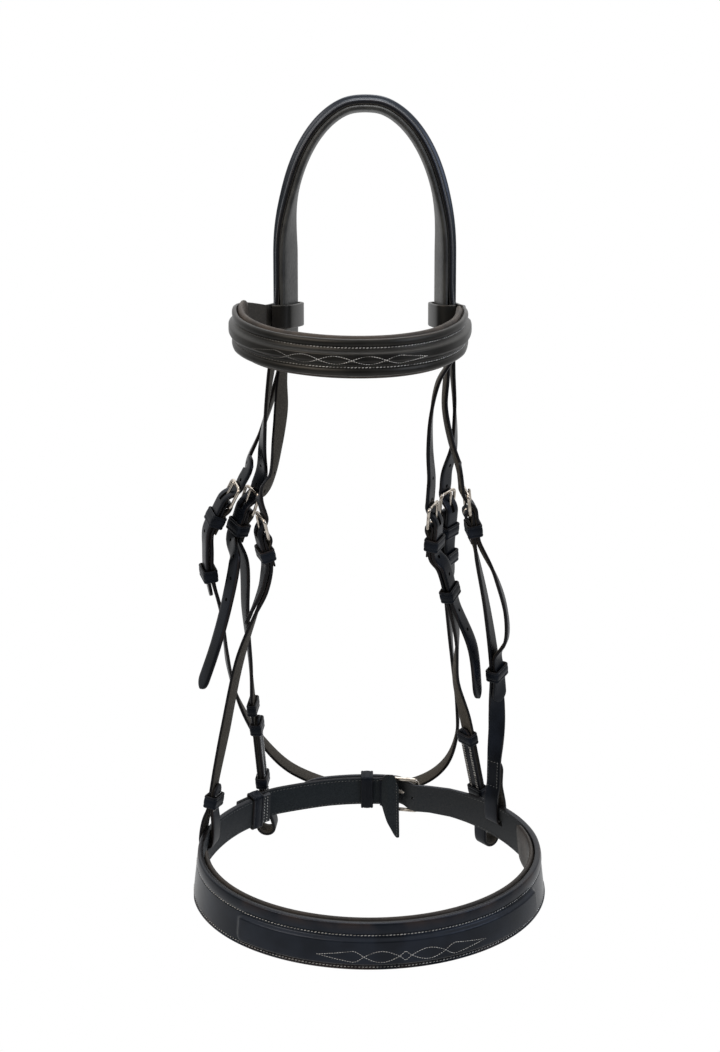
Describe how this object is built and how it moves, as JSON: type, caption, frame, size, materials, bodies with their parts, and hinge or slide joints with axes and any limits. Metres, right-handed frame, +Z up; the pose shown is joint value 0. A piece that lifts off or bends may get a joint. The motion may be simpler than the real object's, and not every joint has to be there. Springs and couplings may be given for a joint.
{
  "type": "hunter bridle",
  "caption": "Hunter bridle hanging empty by its padded crown: raised, fancy-stitched browband and noseband, buckled cheekpieces, throatlatch and jaw strap.",
  "frame": {"origin": "middle of the flat on the underside of the crown's lining, where the headstall rests on a hook or on the horse's poll", "axes": "+Z up, -Y towards the front of the horse's face, +X towards the horse's left (near) side"},
  "size_m": [0.2611, 0.2617, 0.5993],
  "materials": {
    "browband": "black bridle leather, waxed grain outside and grey-brown flesh side",
    "browband_padding": "soft black-brown lining leather over padding",
    "crown_lining": "soft black-brown lining leather over padding",
    "crown_strap": "black bridle leather, waxed grain outside and grey-brown flesh side",
    "jaw_buckle": "polished stainless steel wire",
    "jaw_end_loop": "black bridle leather, waxed grain outside and grey-brown flesh side",
    "jaw_guard": "black bridle leather, waxed grain outside and grey-brown flesh side",
    "jaw_keeper": "black bridle leather, waxed grain outside and grey-brown flesh side",
    "jaw_strap": "black bridle leather, waxed grain outside and grey-brown flesh side",
    "jaw_tongue": "polished stainless steel wire",
    "near_bit_keeper_lower": "black bridle leather, waxed grain outside and grey-brown flesh side",
    "near_bit_keeper_upper": "black bridle leather, waxed grain outside and grey-brown flesh side",
    "near_cheek_buckle": "polished stainless steel wire",
    "near_cheek_fixed_keeper": "black bridle leather, waxed grain outside and grey-brown flesh side",
    "near_cheek_running_keeper": "black bridle leather, waxed grain outside and grey-brown flesh side",
    "near_cheek_tongue": "polished stainless steel wire",
    "near_cheekpiece": "black bridle leather, waxed grain outside and grey-brown flesh side",
    "near_hanger_buckle": "polished stainless steel wire",
    "near_hanger_fixed_keeper": "black bridle leather, waxed grain outside and grey-brown flesh side",
    "near_hanger_running_keeper": "black bridle leather, waxed grain outside and grey-brown flesh side",
    "near_hanger_tongue": "polished stainless steel wire",
    "near_noseband_hanger": "black bridle leather, waxed grain outside and grey-brown flesh side",
    "near_throat_buckle": "polished stainless steel wire",
    "near_throat_fixed_keeper": "black bridle leather, waxed grain outside and grey-brown flesh side",
    "near_throat_running_keeper": "black bridle leather, waxed grain outside and grey-brown flesh side",
    "near_throat_tongue": "polished stainless steel wire",
    "noseband": "black bridle leather, waxed grain outside and grey-brown flesh side",
    "noseband_headstrap": "black bridle leather, waxed grain outside and grey-brown flesh side",
    "noseband_padding": "soft black-brown lining leather over padding",
    "off_bit_keeper_lower": "black bridle leather, waxed grain outside and grey-brown flesh side",
    "off_bit_keeper_upper": "black bridle leather, waxed grain outside and grey-brown flesh side",
    "off_cheek_buckle": "polished stainless steel wire",
    "off_cheek_fixed_keeper": "black bridle leather, waxed grain outside and grey-brown flesh side",
    "off_cheek_running_keeper": "black bridle leather, waxed grain outside and grey-brown flesh side",
    "off_cheek_tongue": "polished stainless steel wire",
    "off_cheekpiece": "black bridle leather, waxed grain outside and grey-brown flesh side",
    "off_hanger_buckle": "polished stainless steel wire",
    "off_hanger_fixed_keeper": "black bridle leather, waxed grain outside and grey-brown flesh side",
    "off_hanger_running_keeper": "black bridle leather, waxed grain outside and grey-brown flesh side",
    "off_hanger_tongue": "polished stainless steel wire",
    "off_noseband_hanger": "black bridle leather, waxed grain outside and grey-brown flesh side",
    "off_throat_buckle": "polished stainless steel wire",
    "off_throat_fixed_keeper": "black bridle leather, waxed grain outside and grey-brown flesh side",
    "off_throat_running_keeper": "black bridle leather, waxed grain outside and grey-brown flesh side",
    "off_throat_tongue": "polished stainless steel wire",
    "throatlatch": "black bridle leather, waxed grain outside and grey-brown flesh side"
  },
  "bodies": {
    "headstall": {"crown_lining": "crown_lining", "crown_strap": "crown_strap", "near_bit_keeper_lower": "near_bit_keeper_lower", "near_bit_keeper_upper": "near_bit_keeper_upper", "near_cheek_buckle": "near_cheek_buckle", "near_cheek_fixed_keeper": "near_cheek_fixed_keeper", "near_cheekpiece": "near_cheekpiece", "near_hanger_buckle": "near_hanger_buckle", "near_hanger_fixed_keeper": "near_hanger_fixed_keeper", "near_noseband_hanger": "near_noseband_hanger", "near_throat_buckle": "near_throat_buckle", "near_throat_fixed_keeper": "near_throat_fixed_keeper", "noseband_headstrap": "noseband_headstrap", "off_bit_keeper_lower": "off_bit_keeper_lower", "off_bit_keeper_upper": "off_bit_keeper_upper", "off_cheek_buckle": "off_cheek_buckle", "off_cheek_fixed_keeper": "off_cheek_fixed_keeper", "off_cheekpiece": "off_cheekpiece", "off_hanger_buckle": "off_hanger_buckle", "off_hanger_fixed_keeper": "off_hanger_fixed_keeper", "off_noseband_hanger": "off_noseband_hanger", "off_throat_buckle": "off_throat_buckle", "off_throat_fixed_keeper": "off_throat_fixed_keeper", "throatlatch": "throatlatch"},
    "browband_set": {"browband": "browband", "browband_padding": "browband_padding"},
    "noseband_ring": {"noseband": "noseband", "noseband_padding": "noseband_padding", "jaw_strap": "jaw_strap", "jaw_buckle": "jaw_buckle", "jaw_end_loop": "jaw_end_loop", "jaw_guard": "jaw_guard"},
    "jaw_keeper": {"jaw_keeper": "jaw_keeper"},
    "jaw_tongue": {"jaw_tongue": "jaw_tongue"},
    "near_cheek_running_keeper": {"near_cheek_running_keeper": "near_cheek_running_keeper"},
    "near_cheek_tongue": {"near_cheek_tongue": "near_cheek_tongue"},
    "near_hanger_running_keeper": {"near_hanger_running_keeper": "near_hanger_running_keeper"},
    "near_hanger_tongue": {"near_hanger_tongue": "near_hanger_tongue"},
    "near_throat_running_keeper": {"near_throat_running_keeper": "near_throat_running_keeper"},
    "near_throat_tongue": {"near_throat_tongue": "near_throat_tongue"},
    "off_cheek_running_keeper": {"off_cheek_running_keeper": "off_cheek_running_keeper"},
    "off_cheek_tongue": {"off_cheek_tongue": "off_cheek_tongue"},
    "off_hanger_running_keeper": {"off_hanger_running_keeper": "off_hanger_running_keeper"},
    "off_hanger_tongue": {"off_hanger_tongue": "off_hanger_tongue"},
    "off_throat_running_keeper": {"off_throat_running_keeper": "off_throat_running_keeper"},
    "off_throat_tongue": {"off_throat_tongue": "off_throat_tongue"}
  },
  "joints": [
    {"name": "browband_slide", "type": "slide", "parent": "headstall", "child": "browband_set", "axis": [0, 0, 1], "range_m": [0, 0.02]},
    {"name": "noseband_rock", "type": "hinge", "parent": "headstall", "child": "noseband_ring", "pos_m": [-0.00829, 0.04656, -0.53262], "axis": [0.9882, 0.1488, 0.0357], "range_deg": [0, 6]},
    {"name": "jaw_keeper_slide", "type": "slide", "parent": "noseband_ring", "child": "jaw_keeper", "axis": [1, 0, 0], "range_m": [-0.008, 0.003]},
    {"name": "jaw_tongue_lift", "type": "hinge", "parent": "noseband_ring", "child": "jaw_tongue", "pos_m": [0.02144, 0.0969, -0.51911], "axis": [-0.0207, -0.3487, 0.937], "range_deg": [0, 4]},
    {"name": "near_cheek_running_keeper_slide", "type": "slide", "parent": "headstall", "child": "near_cheek_running_keeper", "axis": [-0.2245, -0.3336, 0.9156], "range_m": [-0.005, 0.006]},
    {"name": "near_cheek_tongue_lift", "type": "hinge", "parent": "headstall", "child": "near_cheek_tongue", "pos_m": [0.048, 0.003, -0.28991], "axis": [0.4219, 0.865, 0.2715], "range_deg": [0, 6]},
    {"name": "near_hanger_running_keeper_slide", "type": "slide", "parent": "headstall", "child": "near_hanger_running_keeper", "axis": [-0.1013, -0.3438, 0.9336], "range_m": [-0.002, 0.006]},
    {"name": "near_hanger_tongue_lift", "type": "hinge", "parent": "headstall", "child": "near_hanger_tongue", "pos_m": [0.073, -0.008, -0.27825], "axis": [-0.1673, 0.9487, 0.2683], "range_deg": [0, 6]},
    {"name": "near_throat_running_keeper_slide", "type": "slide", "parent": "headstall", "child": "near_throat_running_keeper", "axis": [0.02, 0.229, -0.9732], "range_m": [-0.003, 0.0015]},
    {"name": "near_throat_tongue_lift", "type": "hinge", "parent": "headstall", "child": "near_throat_tongue", "pos_m": [0.059, 0.025, -0.28408], "axis": [0.6165, 0.7613, 0.2006], "range_deg": [0, 6]},
    {"name": "off_cheek_running_keeper_slide", "type": "slide", "parent": "headstall", "child": "off_cheek_running_keeper", "axis": [-0.0471, -0.3019, 0.9522], "range_m": [-0.003, 0.01]},
    {"name": "off_cheek_tongue_lift", "type": "hinge", "parent": "headstall", "child": "off_cheek_tongue", "pos_m": [-0.085, 0.008, -0.27984], "axis": [0.5829, -0.7198, -0.377], "range_deg": [0, 6]},
    {"name": "off_hanger_running_keeper_slide", "type": "slide", "parent": "headstall", "child": "off_hanger_running_keeper", "axis": [0.1637, -0.0692, 0.9841], "range_m": [-0.003, 0.006]},
    {"name": "off_hanger_tongue_lift", "type": "hinge", "parent": "headstall", "child": "off_hanger_tongue", "pos_m": [-0.071, -0.009, -0.29521], "axis": [0.376, -0.8857, -0.2724], "range_deg": [0, 6]},
    {"name": "off_throat_running_keeper_slide", "type": "slide", "parent": "headstall", "child": "off_throat_running_keeper", "axis": [-0.0531, -0.2897, 0.9556], "range_m": [-0.0015, 0.006]},
    {"name": "off_throat_tongue_lift", "type": "hinge", "parent": "headstall", "child": "off_throat_tongue", "pos_m": [-0.099, 0.002, -0.27401], "axis": [0.3361, -0.8756, -0.3469], "range_deg": [0, 6]}
  ]
}
